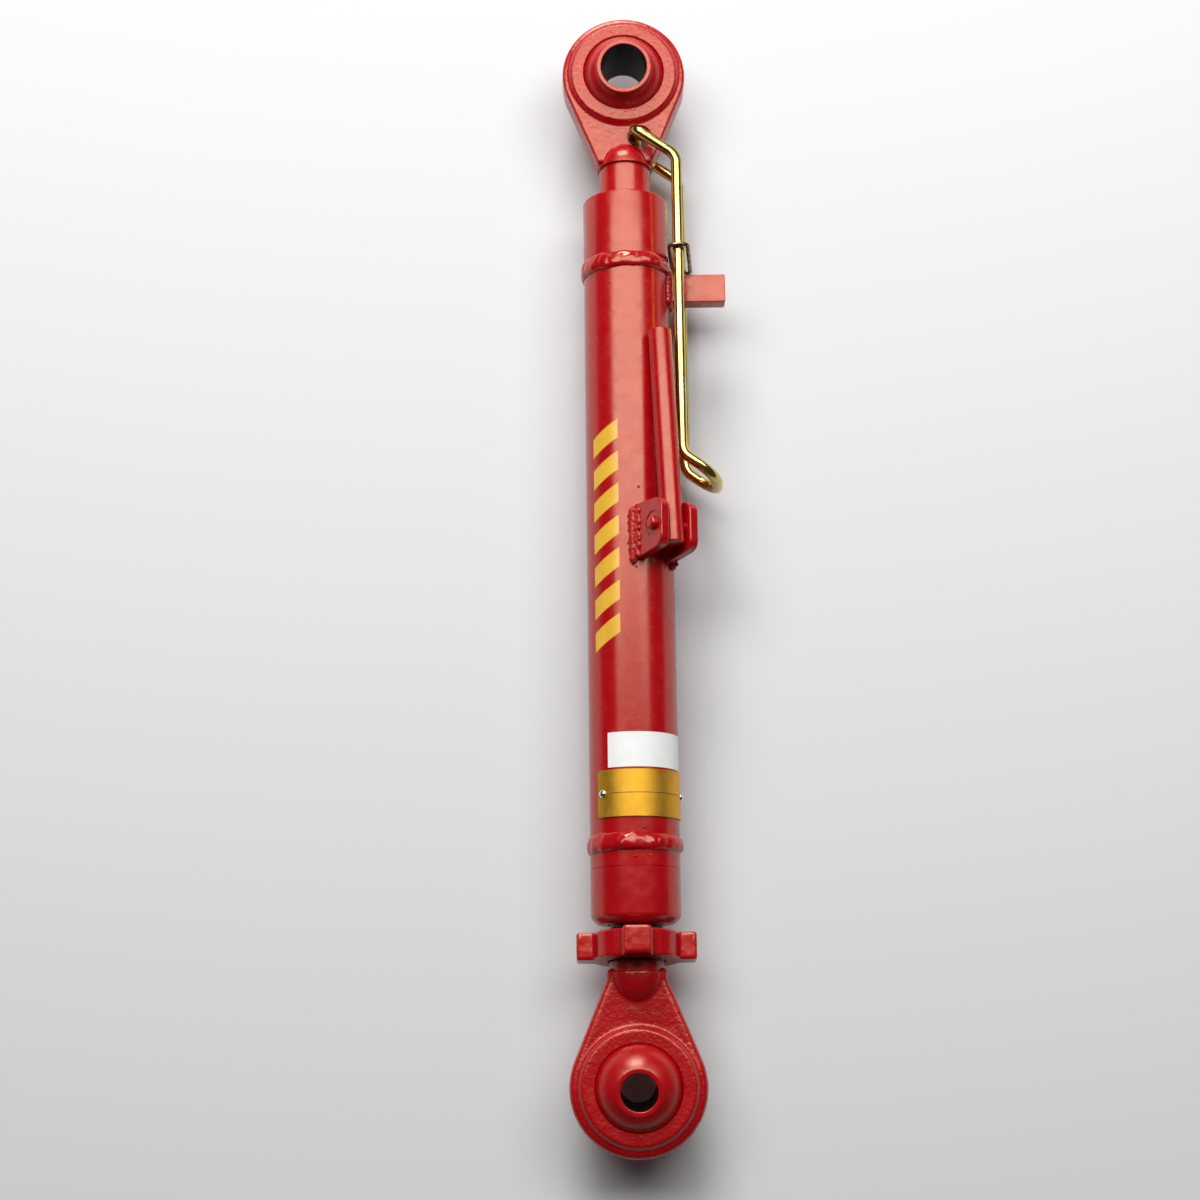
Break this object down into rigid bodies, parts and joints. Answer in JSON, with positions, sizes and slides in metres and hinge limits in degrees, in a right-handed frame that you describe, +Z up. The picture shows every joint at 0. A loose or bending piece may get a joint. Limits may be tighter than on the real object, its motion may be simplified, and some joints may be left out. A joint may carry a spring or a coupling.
{
  "type": "tractor top link",
  "caption": "Adjustable tractor top link: a tubular barrel threaded onto two forged ball eyes, with a fold-down turning lever, a lock nut and a wire locking bail.",
  "frame": {"origin": "the middle of the object's outline in plan, on the surface it lies on; x = 0 and y = 0 are the middles of its width and length, and z = 0 is its lowest point, a lobe of the lock nut", "axes": "+Y runs along the link towards the large-bore eye that carries the bail, +Z is up through the balls' bores, and +X is the side on which the lug, the bail and the lever lie"},
  "size_m": [0.0902, 0.629, 0.0748],
  "materials": {
    "red_enamel": "glossy red enamel over machined steel",
    "red_forging": "glossy red enamel over a forged, slightly pitted skin",
    "red_weld": "glossy red enamel over rippled weld",
    "yellow_zinc": "yellow-passivated zinc plate on drawn wire",
    "bronze_zinc": "dull bronze-brown plating on thin wire",
    "gilt_plate": "thin satin gilt sheet",
    "white_label": "semi-matt white adhesive label, blank",
    "yellow_decal": "glossy yellow vinyl film"
  },
  "bodies": {
    "barrel": {"barrel_tube": "red_enamel", "upper_end_nut": "red_enamel", "lower_end_nut": "red_enamel", "upper_weld_bead": "red_weld", "lower_weld_bead": "red_weld", "locking_lug": "red_enamel", "lug_weld": "red_weld", "lever_ear_left": "red_enamel", "lever_ear_right": "red_enamel", "ear_weld_left": "red_weld", "ear_weld_right": "red_weld", "lever_pin": "red_enamel", "rating_plate": "gilt_plate", "plate_rivet_left": "gilt_plate", "plate_rivet_right": "gilt_plate"},
    "lever": {"turning_lever": "red_enamel"},
    "upper_end": {"upper_eye": "red_forging"},
    "upper_joint_ball": {"upper_ball": "red_enamel"},
    "lower_end": {"lower_eye": "red_forging"},
    "lower_joint_ball": {"lower_ball": "red_enamel"},
    "locking_nut": {"lock_nut": "red_forging"},
    "bail": {"locking_bail": "yellow_zinc"},
    "keeper": {"keeper_ring": "bronze_zinc"}
  },
  "joints": [
    {"name": "upper_eye_travel", "type": "slide", "parent": "barrel", "child": "upper_end", "axis": [0, 1, 0], "range_m": [0, 0.09]},
    {"name": "lower_eye_travel", "type": "slide", "parent": "barrel", "child": "lower_end", "axis": [0, -1, 0], "range_m": [0, 0.09]},
    {"name": "upper_ball_swivel", "type": "hinge", "parent": "upper_end", "child": "upper_joint_ball", "pos_m": [-0.0095, 0.2799, 0.03164], "axis": [1, 0, 0], "range_deg": [-21.5, 8.5]},
    {"name": "lower_ball_swivel", "type": "hinge", "parent": "lower_end", "child": "lower_joint_ball", "pos_m": [-0.0095, -0.2789, 0.03164], "axis": [1, 0, 0], "range_deg": [-21.5, 8.5]},
    {"name": "lock_nut_spin", "type": "hinge", "parent": "lower_end", "child": "locking_nut", "pos_m": [-0.0095, -0.20775, 0.03164], "axis": [0, 0.9962, -0.0872], "continuous": true},
    {"name": "bail_swing", "type": "hinge", "parent": "upper_end", "child": "bail", "pos_m": [-0.00324, 0.24354, 0.03164], "axis": [-0.0785, 0, 0.9969], "range_deg": [0, 85]},
    {"name": "keeper_slide", "type": "slide", "parent": "bail", "child": "keeper", "axis": [0, 1, 0], "range_m": [-0.002, 0.04]},
    {"name": "lever_fold", "type": "hinge", "parent": "barrel", "child": "lever", "pos_m": [0.01207, 0.0101, 0.06244], "axis": [0.8192, 0, -0.5736], "range_deg": [0, 172]}
  ],
  "couplings": [
    {"joint": "lower_eye_travel", "follows": "upper_eye_travel", "ratio": 1}
  ]
}
